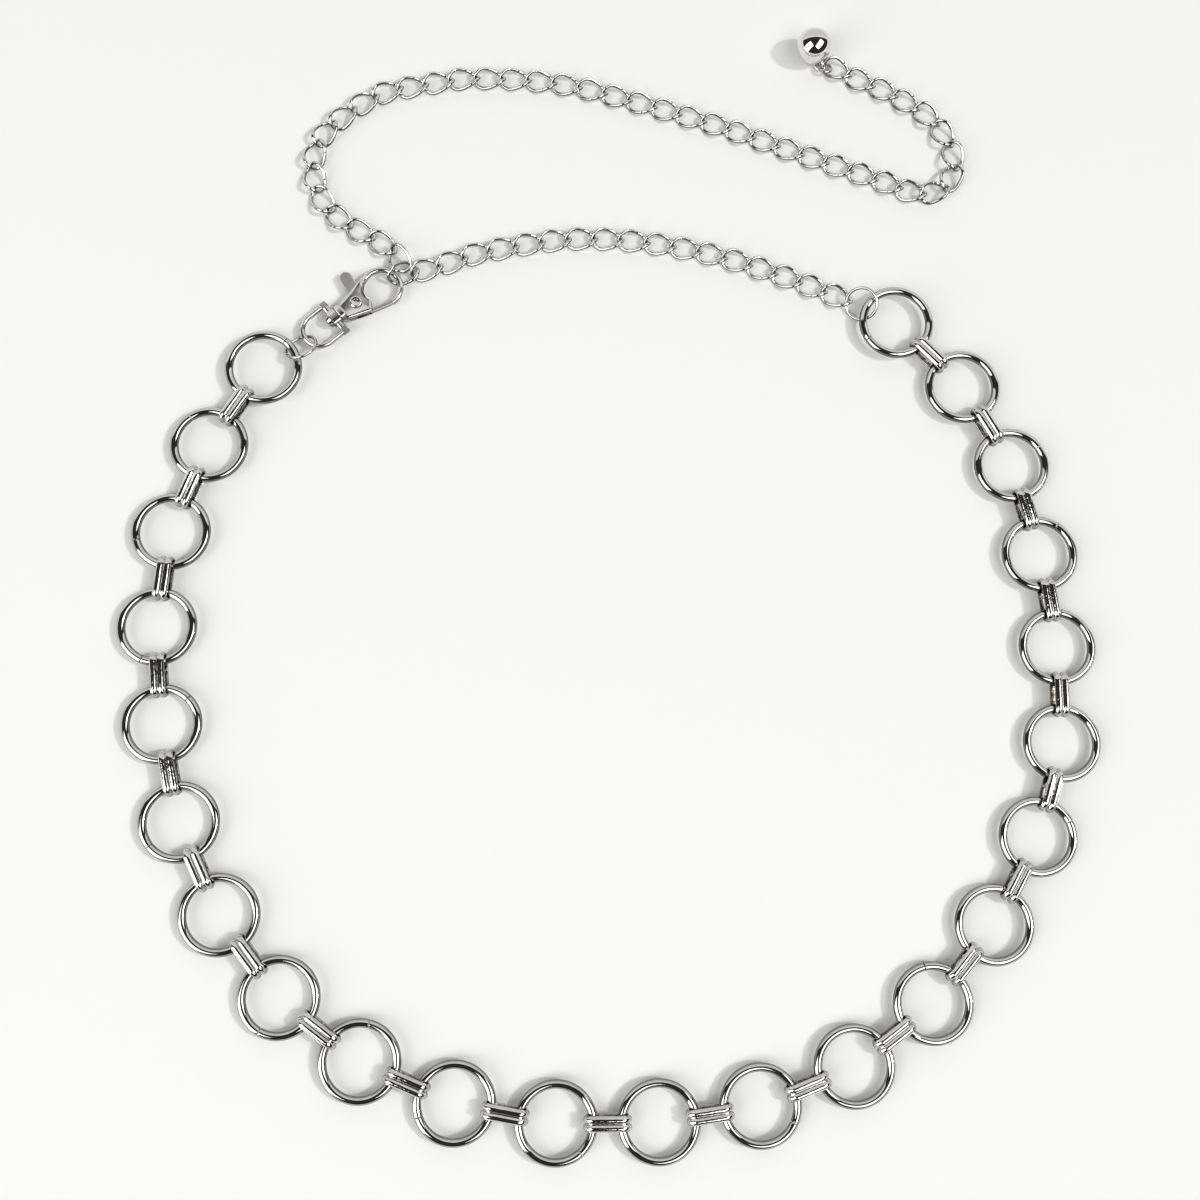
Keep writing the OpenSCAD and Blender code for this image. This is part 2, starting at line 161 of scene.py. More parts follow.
# The low wall and the near edge of the backdrop are white. From that edge the backdrop fades
# to a light grey, which it reaches at FOLD_TO
fold = add(room, "ShaderNodeMapRange", links={"Value": part["Y"]},
           inputs={"From Min": BACKDROP_FROM, "From Max": FOLD_TO})
backdrop_colour = add(room, "ShaderNodeMix", data_type="RGBA", links={"Factor": fold.outputs[0]},
                      inputs={"A": linear(FOLD_COLOUR), "B": linear(BACKDROP_COLOUR)})
room_colour = add(room, "ShaderNodeMix", data_type="RGBA", inputs={"A": linear(ROOM_COLOUR)},
                  links={"Factor": white.outputs[0], "B": backdrop_colour.outputs["Result"]})
glow = add(room, "ShaderNodeBackground", links={"Color": room_colour.outputs["Result"]})
add(room, "ShaderNodeOutputWorld", links={"Surface": glow.outputs[0]})
print("dark room in linear light:", round(linear(ROOM_COLOUR)[0], 3))


# %% Lights
LAMP_DISTANCE = 3
KEY_STRENGTH = 1.0
KEY_SPREAD_DEG = 4.5


def towards(bearing_deg, from_top_deg):
    """Unit vector to a light: (sin t cos b, sin t sin b, cos t), bearing b, angle t from the top."""
    bearing, down = np.radians((bearing_deg, from_top_deg))
    return Vector((np.sin(down) * np.cos(bearing), np.sin(down) * np.sin(bearing), np.cos(down)))


def lamp_at(name, lamp, direction):
    """Hangs a lamp in a direction from the table's middle, facing it, unseen by the camera."""
    hung = bpy.data.objects.new(name, lamp)
    facing = direction.to_track_quat("Z", "Y").to_matrix().to_4x4()
    hung.matrix_world = Matrix.Translation(direction * LAMP_DISTANCE) @ facing
    hung.visible_camera = False
    bpy.context.scene.collection.objects.link(hung)
    return hung


def softbox(name, direction, width, height, radiance):
    """A rectangular light. Its power is pi times its area times the radiance."""
    lamp = bpy.data.lights.new(name, "AREA")
    lamp.shape = "RECTANGLE"
    lamp.size, lamp.size_y = width, height
    lamp.energy = np.pi * width * height * radiance
    print(name, "power in W:", round(lamp.energy, 1))
    return lamp_at(name, lamp, direction)


softbox("right_softbox", towards(-30, 35), width=3.3, height=1.65, radiance=2.65)
softbox("left_softbox", towards(-150, 55), width=2, height=3.2, radiance=3.0)

key_lamp = bpy.data.lights.new("key", "SUN")
key_lamp.energy = KEY_STRENGTH
key_lamp.angle = np.radians(KEY_SPREAD_DEG)
lamp_at("key", key_lamp, towards(-4, 44))
bpy.context.scene.view_settings.view_transform = "Standard"

# %% [markdown]
# ## The table
# A sheet of matt white board. It is a little warm, and it carries no pattern that would show
# at this distance, so only a faint tooth of 0.3 mm is in its bump.

# %% Table
TABLE_R = 4.0
TABLE_SIDES = 96
TABLE_DROP_MM = 0.02
TOOTH_MM = 0.3
TOOTH_DEPTH_MM = 0.01
BOARD_COLOUR = "EFEEEA"

board = bpy.data.materials.new("matt_white_board")
board.use_nodes = True
tree = board.node_tree
tree.nodes.clear()
place = add(tree, "ShaderNodeTexCoord").outputs["Object"]
tooth = add(tree, "ShaderNodeTexNoise", links={"Vector": place},
            inputs={"Scale": 1 / (TOOTH_MM * MM), "Detail": 2})
relief = add(tree, "ShaderNodeBump", links={"Height": tooth.outputs["Fac"]},
             inputs={"Distance": TOOTH_DEPTH_MM * MM, "Strength": 0.3})
matt = add(tree, "ShaderNodeBsdfPrincipled", links={"Normal": relief.outputs[0]},
           inputs={"Base Color": linear(BOARD_COLOUR), "Roughness": 0.9, "Specular IOR Level": 0.1})
add(tree, "ShaderNodeOutputMaterial", links={"Surface": matt.outputs[0]})

table_z = cad_low.z - TABLE_DROP_MM * MM
rim = np.arange(TABLE_SIDES) * 2 * np.pi / TABLE_SIDES
rim_points = np.stack([TABLE_R * np.cos(rim), TABLE_R * np.sin(rim),
                       np.full(TABLE_SIDES, table_z)], axis=1)
table_mesh = bpy.data.meshes.new("table")
table_mesh.from_pydata(rim_points, [], [list(range(TABLE_SIDES))])
table_mesh.materials.append(board)
table = bpy.data.objects.new("table", table_mesh)
bpy.context.scene.collection.objects.link(table)
print("table top at z in mm:", round(table_z / MM, 3))


# %% [markdown]
# ## Plated metal
# All the metal here is bright nickel-type plating over iron or zinc. What differs is what lies
# under it. Drawn wire is smooth with long soft ripples, a stamped strip keeps its rolling
# marks, a zinc casting has a fine grain that tumbling leaves, and a turned ball is a mirror.
# So one recipe takes the ripple, the grain and the roughness in real sizes.

# %% Plating
UM = 0.001 * MM
STAIN_MM = 6
STAIN_FROM, STAIN_TO = 0.35, 0.75
GRAIN_LOW, GRAIN_HIGH = 0.3, 0.7
SMOOTHEST, ROUGHEST = 0.7, 1.4
FLANK_SPAN = 0.42


def plated(name, colour, stain, roughness, ripple_mm, ripple_um, grain_mm, grain_um,
           flank=0.0, flank_from=0.9):
    """A plated metal: colour with faint stains, soft ripples and a fine grain as relief.

    Stains and grain come from noise between 0 and 1. The roughness runs from 0.7 to 1.4 times
    the given one. The photograph shows a thin dark line along the flanks of most pieces, and
    here it is painted shade in the colour. Where the upward part of the surface's direction
    falls below flank_from, the colour falls, in the end by the share given as flank. This painted
    shade is an effect for a view from above, and not a property of real plating.
    """
    material = bpy.data.materials.new(name)
    material.use_nodes = True
    tree = material.node_tree
    tree.nodes.clear()
    at = add(tree, "ShaderNodeTexCoord").outputs
    place = at["Object"]
    cloud = add(tree, "ShaderNodeTexNoise", links={"Vector": place},
                inputs={"Scale": 1 / (STAIN_MM * MM), "Detail": 5, "Roughness": 0.6})
    ripple = add(tree, "ShaderNodeTexNoise", links={"Vector": place},
                 inputs={"Scale": 1 / (ripple_mm * MM), "Detail": 1})
    grain = add(tree, "ShaderNodeTexNoise", links={"Vector": place},
                inputs={"Scale": 1 / (grain_mm * MM), "Detail": 3, "Roughness": 0.7})
    tone = add(tree, "ShaderNodeMapRange", links={"Value": cloud.outputs["Fac"]},
               inputs={"From Min": STAIN_FROM, "From Max": STAIN_TO})
    tint = add(tree, "ShaderNodeMix", data_type="RGBA", links={"Factor": tone.outputs[0]},
               inputs={"A": linear(colour), "B": linear(stain)})
    # Painted shade: the colour darkens where the surface turns away from straight up, a dark line along
    # each flank
    facing = add(tree, "ShaderNodeSeparateXYZ", links={"Vector": at["Normal"]})
    upward = add(tree, "ShaderNodeMath", operation="ABSOLUTE", links={0: facing.outputs["Z"]})
    shade = add(tree, "ShaderNodeMapRange", links={"Value": upward.outputs[0]},
                interpolation_type="SMOOTHSTEP",
                inputs={"From Min": flank_from - FLANK_SPAN, "From Max": flank_from,
                        "To Min": 1 - flank, "To Max": 1})
    stain_and_painted_shade = add(tree, "ShaderNodeMix", data_type="RGBA", blend_type="MULTIPLY", inputs={"Factor": 1},
               links={"A": tint.outputs["Result"], "B": shade.outputs[0]})
    dull = add(tree, "ShaderNodeMapRange", links={"Value": grain.outputs["Fac"]},
               inputs={"From Min": GRAIN_LOW, "From Max": GRAIN_HIGH,
                       "To Min": SMOOTHEST * roughness, "To Max": ROUGHEST * roughness})
    wave = add(tree, "ShaderNodeBump", links={"Height": ripple.outputs["Fac"]},
               inputs={"Distance": ripple_um * UM, "Strength": 1})
    bumps = add(tree, "ShaderNodeBump", links={"Height": grain.outputs["Fac"], "Normal": wave.outputs[0]},
                inputs={"Distance": grain_um * UM, "Strength": 1})
    metal = add(tree, "ShaderNodeBsdfPrincipled", inputs={"Metallic": 1},
                links={"Base Color": stain_and_painted_shade.outputs["Result"], "Roughness": dull.outputs[0],
                       "Normal": bumps.outputs[0]})
    add(tree, "ShaderNodeOutputMaterial", links={"Surface": metal.outputs[0]})
    print(name, "ready, roughness about", roughness)
    return material


# In each plating below, flank and flank_from set how much painted shade darkens its flanks
# Drawn and bent iron wire: long soft ripples where the bending tool held it
ring_plating = plated("bright_nickel_on_drawn_wire", "E4E2DF", "CFCCC8", roughness=0.05,
                      ripple_mm=3, ripple_um=6, grain_mm=0.25, grain_um=0.15, flank=0.75)
# Rolled strip, folded round a mandrel: shorter and deeper ripples, which break up its reflections
strip_plating = plated("bright_nickel_on_folded_strip", "ECEAE7", "D2CECA", roughness=0.08,
                       ripple_mm=1.3, ripple_um=60, grain_mm=0.2, grain_um=0.4,
                       flank=0.65, flank_from=0.65)
# Tumbled zinc casting: the plating follows a fine grain, so flat faces look satin
cast_plating = plated("satin_nickel_on_cast_zinc", "F4F1EE", "DAD6D2", roughness=0.16,
                      ripple_mm=2.5, ripple_um=8, grain_mm=0.12, grain_um=2,
                      flank=0.75, flank_from=0.72)
# Punched lever plate: darker and duller than the casting, with a finer grain
lever_plating = plated("satin_nickel_on_punched_plate", "D6D2CE", "BCB7B3", roughness=0.3,
                       ripple_mm=3, ripple_um=3, grain_mm=0.1, grain_um=0.9,
                       flank=0.7, flank_from=0.6)
# Thin wire of the curb links, closed by machine: bright, with a painted shade line along each flank
link_plating = plated("bright_nickel_on_chain_wire", "F0EEEB", "DAD7D3", roughness=0.07,
                      ripple_mm=1.5, ripple_um=3, grain_mm=0.2, grain_um=0.25,
                      flank=0.75, flank_from=0.86)
# Thin wire of the jump rings, bent by pliers, which leave short ripples
jump_plating = plated("bright_nickel_on_jump_ring_wire", "E4E2DF", "CECBC7", roughness=0.08,
                      ripple_mm=1.5, ripple_um=4, grain_mm=0.2, grain_um=0.3,
                      flank=0.75, flank_from=0.88)
# Polished ball: the best mirror on the chain, so it shows the lamps with sharp edges
ball_plating = plated("mirror_nickel_on_polished_ball", "EBE7E5", "DAD5D1", roughness=0.03,
                      ripple_mm=5, ripple_um=2, grain_mm=0.4, grain_um=0.05)


# %% [markdown]
# ## Surfaces from arrays
# Every piece here is a section carried along a path. The section's points go round, the path
# gives the rows, and neighbouring points make four-sided faces. A path that closes on itself
# needs no ends, and any other gets a cap on either end.

# %% Shells and objects
def shell(grid, closed):
    """Corner points and faces of one surface from a grid of rows (path) and columns (round).

    Faces join each point to the next in its row and to both in the next row. They are turned
    so that six times the volume, the sum of a . (b x c) over the triangles, is positive.
    """
    rows, columns = grid.shape[:2]
    row = np.arange(rows if closed else rows - 1)[:, None]
    column = np.arange(columns)[None, :]
    after = (column + 1) % columns
    below = (row + 1) % rows
    quads = np.stack([row * columns + column, row * columns + after,
                      below * columns + after, below * columns + column], axis=-1).reshape(-1, 4)
    points = grid.reshape(-1, 3)
    a, b, c, d = (points[quads[:, k]] for k in range(4))
    six_volumes = np.sum(a * np.cross(b, c)) + np.sum(a * np.cross(c, d))
    if not closed:
        for end in (grid[0], grid[-1][::-1]):
            six_volumes += np.sum(end[0] * np.cross(end[2:], end[1:-1]))
    caps = [] if closed else [np.arange(columns)[::-1], np.arange(columns) + (rows - 1) * columns]
    faces = [*quads, *caps]
    if six_volumes < 0:
        faces = [face[::-1] for face in faces]
    return points, [face.tolist() for face in faces]


def piece_from(name, shells, material, sharp_deg=35):
    """One object from shells, their points one after another, smooth but for sharp edges."""
    starts = np.cumsum([0] + [len(points) for points, _ in shells])
    faces = [[corner + start for corner in face]
             for (_, part), start in zip(shells, starts) for face in part]
    mesh = bpy.data.meshes.new(name)
    mesh.from_pydata(np.concatenate([points for points, _ in shells]) * MM, [], faces)
    mesh.materials.append(material)
    mesh.shade_smooth()
    mesh.set_sharp_from_angle(angle=np.radians(sharp_deg))
    made = bpy.data.objects.new(name, mesh)
    bpy.context.scene.collection.objects.link(made)
    return made


def dress(piece, body, slot, *nodes):
    """Makes a finished piece ride on its body and stand for its CAD nodes."""
    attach(piece, body)
    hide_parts(*nodes)
    print(piece.name, "faces:", len(piece.data.polygons))
    return piece


def circle_of(count):
    """Cosine and sine of equal steps round a circle."""
    turn = np.arange(count) * 2 * np.pi / count
    return np.cos(turn), np.sin(turn)


print("a shell is ready")


# %% [markdown]
# ## Measuring a ring
# Belt rings, jump rings and the small ring at the ball are all wire bent round with a butt
# joint. Instead of repeating their places, the lesson measures them: the thinnest direction of
# the corner points is the axis, their extent gives centre and radii, and the faces that look
# along the wire are its two cut ends.

# %% Ring places from the CAD nodes
END_FACE_COSINE = 0.98
NO_LENGTH = 1e-12


def node_triangles(name):
    """Corner points of a CAD node's triangles in mm, an array of triangles x corners x 3."""
    mesh = frame["nodes"][name].data
    points = np.empty(len(mesh.vertices) * 3)
    mesh.vertices.foreach_get("co", points)
    corners = np.empty(len(mesh.loops), int)
    mesh.loops.foreach_get("vertex_index", corners)
    return points.reshape(-1, 3)[corners].reshape(-1, 3, 3) / MM


def measured_ring(name):
    """Centre, two axes in the plane, axis, radius and wire thickness of a ring in mm.

    The first axis points to the butt joint: the mean of the triangles whose normal lies along
    the wire, which is the axis crossed with the direction from the centre.
    """
    triangles = node_triangles(name)
    points = triangles.reshape(-1, 3)
    spread = np.cov((points - points.mean(0)).T)
    frame_axes = np.linalg.eigh(spread)[1].T
    axis = frame_axes[0] * np.sign(frame_axes[0][2])
    flat = points @ frame_axes.T
    low, high = flat.min(0), flat.max(0)
    centre = (low + high) / 2 @ frame_axes
    thickness = (high - low)[0]
    radius = ((high - low)[1:].mean() - thickness) / 2
    normals = np.cross(triangles[:, 1] - triangles[:, 0], triangles[:, 2] - triangles[:, 0])
    normals /= np.maximum(np.linalg.norm(normals, axis=1, keepdims=True), NO_LENGTH)
    outward = triangles.mean(1) - centre
    along = np.cross(axis, outward)
    along /= np.maximum(np.linalg.norm(along, axis=1, keepdims=True), NO_LENGTH)
    ends = np.abs(np.sum(normals * along, axis=1)) > END_FACE_COSINE
    to_joint = outward[ends].mean(0)
    to_joint -= axis * (to_joint @ axis)
    to_joint /= np.linalg.norm(to_joint)
    return centre, to_joint, np.cross(axis, to_joint), axis, radius, thickness


ring_names = sorted(name for name in frame["nodes"] if name.startswith("ring_"))
belt = [measured_ring(name) for name in ring_names]
print(len(belt), "belt rings of radius", round(belt[0][4], 2), "and wire", round(belt[0][5], 2))

# %% [markdown]
# ## Belt rings
# A ring of 2.7 mm wire: the section is a circle, carried round a larger circle. It could be
# Blender's own torus, but the real ring has a butt joint with dressed ends, and that needs a
# path which stops just short of itself. The wire's radius shrinks over the last 0.12 mm, which
# leaves the fine bright line that the photograph shows across the wire.

# %% Bent wire rings
JOINT_GAP_MM = 0.2
DRESSED_MM = 0.12
DRESSED_ROWS = 4
RING_ROWS = 150
RING_COLUMNS = 28


def bent_ring(measure, rows, columns):
    """Grid of a wire ring: centre + (R + r cos b) * outward(a) + r sin b * axis.

    The path angle a runs from half a gap to a full turn less half a gap, and r follows a
    quarter circle over the dressed ends.
    """
    centre, to_joint, across, axis, radius, thickness = measure
    half_gap = JOINT_GAP_MM / 2 / radius
    dressed = np.linspace(0, 1, DRESSED_ROWS + 1)[:-1]
    turns = np.concatenate([half_gap + dressed * DRESSED_MM / radius,
                            np.linspace(half_gap + DRESSED_MM / radius,
                                        2 * np.pi - half_gap - DRESSED_MM / radius, rows),
                            2 * np.pi - half_gap - dressed[::-1] * DRESSED_MM / radius])
    shrink = np.sqrt(1 - (1 - dressed) ** 2) - 1
    wire = thickness / 2 + DRESSED_MM * np.concatenate([shrink, np.zeros(rows), shrink[::-1]])
    outward = np.cos(turns)[:, None] * to_joint + np.sin(turns)[:, None] * across
    round_cos, round_sin = circle_of(columns)
    reach = radius + wire[:, None] * round_cos
    return (centre + reach[..., None] * outward[:, None, :]
            + (wire[:, None] * round_sin)[..., None] * axis)


for name, measure in zip(ring_names, belt):
    wire = shell(bent_ring(measure, RING_ROWS, RING_COLUMNS), False)
    ring = piece_from(name + "_wire", [wire], ring_plating)
    dress(ring, "root", "ring_metal", name)

# %% [markdown]
# ## Connectors
# A strip with two raised ridges and a groove between them is folded round a mandrel into a
# flat loop, and its ends meet in the middle of the underside. The section is drawn once, with
# softened edges, and carried along the loop's inner face.

# %% Section of the ridged strip
STRIP_W_MM = 4.6
STRIP_T_MM = 1.15
RIDGE_H_MM = 0.75
EDGE_ROUND_MM = 0.12
GROOVE_ROUND_MM = 0.08
GROOVE_SINK_MM = 0.02
RIDGE_POINTS = 15
EDGE_POINTS = 5


def strip_section():
    """Across and outward coordinates of the strip's section, going once round it.

    Each ridge is an arc whose circle passes through both its edges and its crest: its radius
    is (quarter width squared + height squared) / (2 * height).
    """
    quarter = STRIP_W_MM / 4
    arc = (quarter ** 2 + RIDGE_H_MM ** 2) / (2 * RIDGE_H_MM)
    across = np.linspace(GROOVE_ROUND_MM, 2 * quarter - EDGE_ROUND_MM, RIDGE_POINTS)
    crest = STRIP_T_MM - arc + np.sqrt(arc ** 2 - (across - quarter) ** 2)
    corner = np.linspace(0, np.pi / 2, EDGE_POINTS)
    edge = 2 * quarter - EDGE_ROUND_MM
    top_edge = np.stack([edge + EDGE_ROUND_MM * np.sin(corner[1:]),
                         crest[-1] - EDGE_ROUND_MM * (1 - np.cos(corner[1:]))], axis=1)
    low_edge = np.stack([edge + EDGE_ROUND_MM * np.cos(corner),
                         EDGE_ROUND_MM * (1 - np.sin(corner))], axis=1)
    half_section = np.concatenate([np.stack([across, crest], axis=1), top_edge, low_edge])
    groove = np.array([[0, crest[0] - GROOVE_SINK_MM]])
    mirrored = half_section[::-1] * (-1, 1)
    return np.concatenate([groove, half_section, mirrored])


section = strip_section()
print("points round the strip:", len(section))

# %% Connectors along the belt
connector_names = sorted(name for name in frame["nodes"] if name.startswith("connector_"))
BUTT_GAP_MM = 0.06
BEND_ROWS = 25
CONNECTOR_LEN_MM = 14.6


def folded_strip(start, end, low, high, length):
    """Grid of one connector: path point + outward * section depth + across * section width.

    The path is the inner face of a flat loop, half circles joined by straights, from the
    middle of the underside round and back to it.
    """
    slot = (high - low) / 2 - STRIP_T_MM
    straight = (length - (high - low)) / 2
    bend = np.linspace(-np.pi / 2, np.pi / 2, BEND_ROWS)
    far = np.stack([straight + slot * np.cos(bend), slot * np.sin(bend),
                    np.cos(bend), np.sin(bend)], axis=1)
    near = far * (-1, 1, -1, 1)
    butt = np.array([BUTT_GAP_MM / 2, -slot, 0, -1.0])
    path = np.concatenate([[butt], far, near[::-1], [butt * (-1, 1, 1, 1)]])
    heading = (end - start)[:2] / np.linalg.norm((end - start)[:2])
    along = np.array([*heading, 0])
    across = np.array([-heading[1], heading[0], 0])
    up = np.array([0, 0, 1.0])
    middle = np.array([*(start + end)[:2] / 2, (low + high) / 2])
    inner = middle + path[:, :1] * along + path[:, 1:2] * up
    outward = path[:, 2:3] * along + path[:, 3:4] * up
    return (inner[:, None, :] + section[None, :, 1:2] * outward[:, None, :]
            + section[None, :, 0:1] * across)


for i, name in enumerate(connector_names):
    box_low, box_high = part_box(name)
    grid = folded_strip(belt[i][0], belt[i + 1][0], box_low.z / MM, box_high.z / MM, CONNECTOR_LEN_MM)
    strip = piece_from(name + "_strip", [shell(grid, False)], strip_plating)
    dress(strip, "root", "connector_metal", name)

# %% [markdown]
# ## Curb chain
# Each link is an oval of thin wire whose ends are twisted against each other, so that the
# links lie flat on one another. The places of the 59 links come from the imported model: its
# triangles fall into loose links, and the spread of each link's corner points gives its three
# directions. Each of the two lengths of chain becomes one mesh.

# %% Places of the links
LINK_A_MM = 5.175
LINK_B_MM = 3.4
LINK_WIRE_MM = 1.15
LINK_TWIST_DEG = 45
LINK_FULLNESS = 0.1
NUDGE = 1e-9


def loose_parts(name):
    """Corner points of each loose part of a node.

    Corners at the same place share a number. Each takes the lowest number found in any of its
    triangles, again and again, until all corners of a part hold the same one.
    """
    triangles = node_triangles(name)
    places, numbers = np.unique(np.round(triangles.reshape(-1, 3), 3), axis=0, return_inverse=True)
    corners = numbers.reshape(-1, 3)
    part = np.arange(len(places))
    while True:
        lowest = part.copy()
        np.minimum.at(lowest, corners, part[corners].min(axis=1, keepdims=True))
        if (lowest == part).all():
            return [places[part == number] for number in np.unique(part)]
        part = lowest


def link_place(points):
    """Centre and three directions of a link: longest, across and up, from its spread.

    The nudge gives a link along the second axis a sign too.
    """
    centre = points.mean(0)
    directions = np.linalg.eigh(np.cov((points - centre).T))[1].T[::-1]
    longest = directions[0] * np.sign(directions[0][0] + NUDGE)
    up = directions[2] * np.sign(directions[2][2])
    return centre, np.stack([longest, np.cross(up, longest), up])


chains = {name: [link_place(points) for points in loose_parts(name)]
          for name in ("extender_chain", "tail_chain")}
print({name: len(places) for name, places in chains.items()})

# %% One link and the two chains
LINK_ROWS = 60
LINK_COLUMNS = 14
JOINT_AT_DEG = 80
JOINT_W_MM = 0.1
JOINT_DEPTH_MM = 0.09
SMALL_STEP = 0.01


def twisted_link(side):
    """Grid of one link about its own centre.

    The wire's middle is (A cos t, W cos f, W sin f), where f is the twist times -cos t and W is
    B sin t * (1 + fullness * sin^2 2t), a fuller oval than an ellipse. The wire's radius dips
    where its ends were pressed together, on one side.
    """
    joint = np.radians(JOINT_AT_DEG) * side
    close = np.arange(-2, 3) * JOINT_W_MM / LINK_A_MM
    even = (np.arange(LINK_ROWS) + 0.5) * 2 * np.pi / LINK_ROWS - np.pi
    steps = np.sort(np.concatenate([even, joint + close]))

    def twist_at(t):
        return -np.radians(LINK_TWIST_DEG) * np.cos(t)

    def middle(t):
        twist = twist_at(t)
        reach = LINK_B_MM * np.sin(t) * (1 + LINK_FULLNESS * np.sin(2 * t) ** 2)
        return np.stack([LINK_A_MM * np.cos(t), reach * np.cos(twist), reach * np.sin(twist)], axis=1)

    along = middle(steps + SMALL_STEP) - middle(steps - SMALL_STEP)
    along /= np.linalg.norm(along, axis=1, keepdims=True)
    twist = twist_at(steps)
    lean = np.stack([np.zeros_like(twist), -np.sin(twist), np.cos(twist)], axis=1)
    out = np.cross(along, lean)
    out /= np.linalg.norm(out, axis=1, keepdims=True)
    up = np.cross(out, along)
    dip = np.exp(-((steps - joint) * LINK_A_MM / JOINT_W_MM) ** 2)
    wire = LINK_WIRE_MM / 2 - JOINT_DEPTH_MM * dip
    round_cos, round_sin = circle_of(LINK_COLUMNS)
    return (middle(steps)[:, None, :] + (wire[:, None] * round_cos)[..., None] * out[:, None, :]
            + (wire[:, None] * round_sin)[..., None] * up[:, None, :])


def lying_link(centre, axes, side):
    """One link at its place, pressed flat where its wire would pass below the table."""
    grid = centre + twisted_link(side) @ axes
    grid[..., 2] = np.maximum(grid[..., 2], 0)
    return shell(grid, True)


for name, places in chains.items():
    links = [lying_link(centre, axes, side=1 if i % 2 else -1)
             for i, (centre, axes) in enumerate(places)]
    chain = piece_from(name + "_links", links, link_plating)
    dress(chain, "root", "chain_metal", name)

# %% [markdown]
# ## Jump rings
# Thinner wire, bent the same way: one joins the bail to the first belt ring, one the extender
# to the last, and a small one joins the last link to the ball. The same grid draws them.

# %% Jump rings
JUMP_ROWS = 90
JUMP_COLUMNS = 16

for name in ("clasp_jump_ring", "end_jump_ring", "ball_jump_ring"):
    wire = shell(bent_ring(measured_ring(name), JUMP_ROWS, JUMP_COLUMNS), False)
    ring = piece_from(name + "_wire", [wire], jump_plating)
    dress(ring, "root", "wire_metal", name)

# %% [markdown]
# ## Turned and cast pieces
# The clasp has four pieces: the hook and the bail are zinc castings, the lever is a punched
# plate and the rivet is turned. Each is built from a few closed shells: turned ones from a
# profile of length and radius, plates from an outline whose rim is rounded, and bars whose
# section is a rounded rectangle that changes along the way. A boolean then joins the shells
# into one solid and cuts bores and slots, as the casting tool and the drill do.

# %% Clasp places
joints = {joint["name"]: joint for joint in frame["joints"]}
swivel_at = np.array(joints["swivel"]["pos_m"]) / MM
swivel_along = np.array(joints["swivel"]["axis"], float)
clasp_up = np.array([0, 0, 1.0])
clasp_left = np.cross(clasp_up, swivel_along)
rivet_place = np.array(joints["lever_hinge"]["pos_m"]) / MM - swivel_at
rivet_at = np.array([rivet_place @ swivel_along, rivet_place @ clasp_left])
print("rivet in the clasp's own frame, in mm:", rivet_at.round(2))


def in_clasp(grid):
    """Points of the clasp's own frame (along, left, up) in the shared frame, in mm."""
    return swivel_at + grid @ np.stack([swivel_along, clasp_left, clasp_up])


def heading(degrees):
    """Unit vectors at angles in the clasp's plane."""
    angle = np.radians(degrees)
    return np.stack([np.cos(angle), np.sin(angle)], axis=-1)


# %% Three kinds of shell
RIM_ROWS = 5
BAR_CORNER_POINTS = 7
BAR_FLAT_POINTS = 13
BAR_CORNER_LIMIT = 0.97


def turned(profile, squareness=2, widen=1, columns=40):
    """A profile of (length, radius) rows turned about the first axis: (l, r cos b, r sin b).

    Dividing r by (|cos b|^n + |sin b|^n)^(1/n) leaves a circle at squareness n = 2 and gives a
    square with round corners, as wide as the circle, at a larger n. The sideways part is then
    made wider by a factor, for cast blocks that are wider than high.
    """
    length, radius = np.array(profile, float).T
    round_cos, round_sin = circle_of(columns)
    fall = (np.abs(round_cos) ** squareness + np.abs(round_sin) ** squareness) ** (1 / squareness)
    round_cos, round_sin = widen * round_cos / fall, round_sin / fall
    grid = np.stack([np.repeat(length[:, None], columns, 1), radius[:, None] * round_cos,
                     radius[:, None] * round_sin], axis=-1)
    return shell(in_clasp(grid), False)


def plate(outline, half_thickness, rim):
    """A flat plate: rows of its outline, moved inwards and up round a quarter circle per edge.

    The inward direction at a point is at right angles to the line between its neighbours.
    """
    outline = np.array(outline, float)
    along = np.roll(outline, -1, 0) - np.roll(outline, 1, 0)
    inward = np.stack([-along[:, 1], along[:, 0]], axis=1) / np.linalg.norm(along, axis=1, keepdims=True)
    area = np.sum(outline[:, 0] * np.roll(outline[:, 1], -1) - outline[:, 1] * np.roll(outline[:, 0], -1))
    inward *= np.sign(area)
    turn = np.linspace(0, np.pi / 2, RIM_ROWS)
    inset = np.concatenate([rim * (1 - np.sin(turn)), rim * (1 - np.sin(turn[::-1]))])
    height = np.concatenate([rim * (1 - np.cos(turn)) - half_thickness,
                             half_thickness - rim * (1 - np.cos(turn[::-1]))])
    rows = outline[None] + inset[:, None, None] * inward[None]
    grid = np.concatenate([rows, np.broadcast_to(height[:, None, None], (*rows.shape[:2], 1))], axis=2)
    return shell(in_clasp(grid), False)


